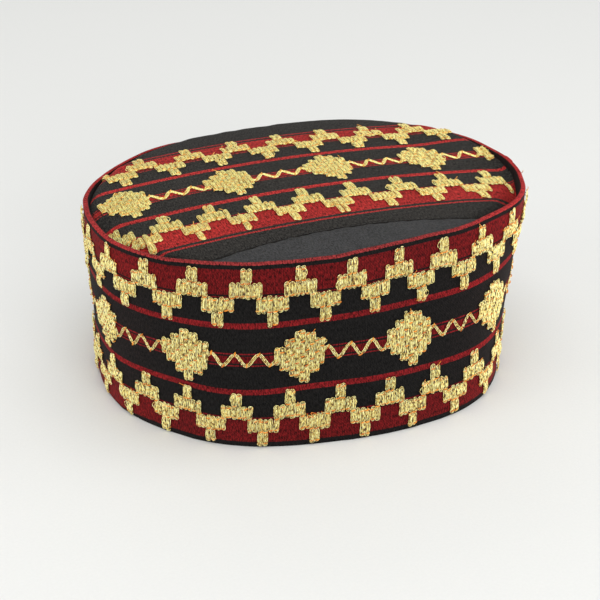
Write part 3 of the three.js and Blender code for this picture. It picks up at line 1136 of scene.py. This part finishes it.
# %% The tree that lays cord on the cloth
cord_tree, graph, given = start_tree(
    "laid_cord", Thread=("Material", None), Strands=("Int", 4), Radius=("Float", 0.18 * MM),
    Spacing=("Float", 0.42 * MM), Lift=("Float", 0.2 * MM), Unevenness=("Float", 0.12 * MM),
    Seed=("Float", 0.0),
)
path = graph.add("GeometryNodeMeshToCurve", None, {"Mesh": given["Geometry"]})
path = graph.add("GeometryNodeSetCurveNormal", {"mode": "Z_UP"}, {"Curve": path})
half_row = (given["Strands"] - 1.0) * given["Spacing"] * 0.5
strand_row = graph.add("GeometryNodeMeshLine", None, {
    "Count": given["Strands"], "Start Location": graph.vector(half_row * -1.0, 0.0),
    "Offset": graph.vector(given["Spacing"], 0.0),
})
sockets = {"Resolution": 4, "Radius": given["Radius"]}
strand_round = graph.add("GeometryNodeCurvePrimitiveCircle", None, sockets)
strand_row = on_points(graph, strand_row, strand_round)
sockets = {"Curve": path, "Profile Curve": strand_row, "Fill Caps": True}
cord = graph.add("GeometryNodeCurveToMesh", None, sockets)
finish_on_cloth(graph, given, moved(graph, cord, Offset=graph.vector(0.0, 0.0, given["Lift"])))


def cord_from_lines(name, slot, lines, cloth, thread, seed, **sizes):
    """lines are lists of flat points: along, across and off the cloth."""
    corners, edges = [], []
    for line in lines:
        edges += [(len(corners) + k, len(corners) + k + 1) for k in range(len(line) - 1)]
        corners += [tuple(map(float, point)) for point in line]
    seeds = seed_object(name + "_lines", corners, edges)
    grown(name, seeds, cord_tree, slot, Cloth=cloth, Thread=thread, Seed=float(seed), **sizes)


# %% Zigzags
zigzag_pitch = 9.5 * MM
zigzag_bend = 0.65  # 0 is a soft wave, 1 has sharp turns
diamond_reach = 4.6 * diamond_pitch
shortest_zigzag = 6 * MM


def zigzag(start, end, size, turns, phase):
    """A wave with straight sides and rounded turns, between two places along the cloth."""
    part = np.linspace(0, 1, int(turns * 12) + 1)
    wave = np.arcsin(zigzag_bend * np.sin(TURN * (turns * part + phase))) / math.asin(zigzag_bend)
    return np.stack([start + (end - start) * part, size * wave, 0.12 * MM * (1 + wave**2)], 1)


def zigzags_between(middles, size, low, high):
    lines = []
    stops = [low, *[m for m in middles if low < m < high], high]
    for left, right in zip(stops[:-1], stops[1:]):
        start = left + (diamond_reach if left != low else 0)
        end = right - (diamond_reach if right != high else 0)
        if end - start > shortest_zigzag:
            turns = max(1, round((end - start) / zigzag_pitch * 2) / 2)
            own_size = size * (1 + chance.normal(0, 0.06))
            lines.append(zigzag(start, end, own_size, turns, chance.choice((0.0, 0.5))))
    return lines


def turn_ties(name, lines, cloth, thread, seed):
    """A tie across each turn of the zigzags, where the bundle would spring open."""
    places = []
    for line in lines:
        off_line = np.abs(line[:, 1])
        turning = (off_line[1:-1] >= np.maximum(off_line[:-2], off_line[2:])) & (off_line[1:-1] > 1 * MM)
        places += [line[k + 1, :2] for k in np.nonzero(turning)[0]]
    set_ties(name, places, 0.15 * MM, 0.9, 0.3, 0.8, cloth, thread, seed)


wall_low, wall_high = joint_place - wall_girth + 2 * MM, joint_place - 2 * MM
wall_zigzags = zigzags_between(wall_diamonds, 2.6 * MM, wall_low, wall_high)
cord_from_lines(
    "gold_wall_zigzags", "gold_thread", wall_zigzags, wall_cloth, gold_thread, 21,
    Strands=3, Radius=0.16 * MM, Spacing=0.52 * MM,
)
crown_zigzags = zigzags_between(crown_diamonds, 2.4 * MM, -92 * MM, 92 * MM)
cord_from_lines("gold_crown_zigzags", "gold_thread", crown_zigzags, crown_cloth, crown_gold, 22)
turn_ties("ties_wall_zigzags", wall_zigzags, wall_cloth, tie_thread, 15)
turn_ties("ties_crown_zigzags", crown_zigzags, crown_cloth, crown_tie, 16)

# %% [markdown]
# What makes hand work look worked by hand is what went slightly wrong: ends of the tying thread that stand
# off the peaks, and strands of gold that have sprung out of their column in a small loop.

# %% Loose ends and sprung loops
# in millimetres: the least and the most, and the spread of where it goes
end_length, end_drift = (1.0, 2.3), 1.1
loop_bulge, loop_slip = (1.3, 2.3), 0.4


def ends_of(bricks, portion):
    """Short curved ends that leave the head of some columns."""
    feet = column_ends(bricks, 1)
    lines = []
    for at, _, high in bricks:
        if (round(at, 6), round(high, 5)) in feet or chance.random() > portion:
            continue
        length, drift = chance.uniform(*end_length) * MM, chance.normal(0, end_drift) * MM
        part = np.linspace(0, 1, 6)
        up = high + length * part - 0.6 * MM
        lines.append(np.stack([at + drift * part**1.6, up, (0.5 + 0.6 * part) * MM], 1))
    return lines


def loops_of(bricks, portion):
    """A strand of some bricks bulges out sideways and comes back."""
    lines = []
    for at, low, high in bricks:
        if chance.random() > portion:
            continue
        part = np.linspace(0, 1, 9)
        bulge = chance.choice((-1, 1)) * chance.uniform(*loop_bulge) * MM
        run = low + (high - low) * (0.1 + 0.8 * part) + chance.normal(0, loop_slip) * MM
        lines.append(np.stack([at + bulge * np.sin(math.pi * part), run, (0.3 + 0.5 * part) * MM], 1))
    return lines


wall_bricks = lower_bricks + upper_bricks + diamond_work
crown_bricks = crown_stairs + crown_diamond_bricks
single = {"Strands": 1, "Radius": 0.15 * MM, "Unevenness": 0.1 * MM}
for name, slot, lines, cloth, thread, seed in (
    ("tie_ends_wall", "tie_thread", ends_of(wall_bricks, 0.13), wall_cloth, tie_thread, 31),
    ("tie_ends_crown", "tie_thread", ends_of(crown_bricks, 0.06), crown_cloth, crown_tie, 32),
    ("loops_wall", "gold_thread", loops_of(wall_bricks, 0.14), wall_cloth, gold_thread, 33),
    ("loops_crown", "gold_thread", loops_of(crown_bricks, 0.16), crown_cloth, crown_gold, 34),
):
    cord_from_lines(name, slot, lines, cloth, thread, seed, **single)

# %% [markdown]
# The satin is joined to the band by machine. Of its stitches only a dark dotted line shows, just on the
# band's side of the seam.

# %% Seam stitches
def seam_paint(graph):
    drift = graph.lumps(900)
    shade = drift * 0.02 + 0.004
    color = graph.vector(shade, shade, shade)
    return graph.surface(color, drift * 0.3 + 0.5, drift, 0.1 * MM, 0.5)


seam_thread = material("seam_thread", seam_paint, Specular_IOR_Level=0.3)
stitch_pitch, stitch_length = 2.4 * MM, 1.5 * MM
stitch_arch = np.array([0.0, 0.12, 0.12, 0.0])[:, None] * MM
seam_ends = [edge_ring[k, 0] for k in crossings]
stitch_lines = []
for x in np.arange(min(seam_ends) + 4 * MM, max(seam_ends) - 4 * MM, stitch_pitch):
    run = x + np.linspace(0, stitch_length, 4)
    off_seam = 0.75 * MM + chance.normal(0, 0.08 * MM)
    flat = crown_place(np.stack([run, seam_y(run) + off_seam], -1))
    stitch_lines.append(np.concatenate([flat, stitch_arch], 1))
cord_from_lines(
    "seam_stitches", "seam_thread", stitch_lines, crown_cloth, seam_thread, 35,
    Strands=1, Radius=0.17 * MM, Unevenness=0.03 * MM, Lift=0.05 * MM,
)

# %% Finish
bpy.data.objects.remove(gold_brick)
bpy.data.objects.remove(tie_stitch)
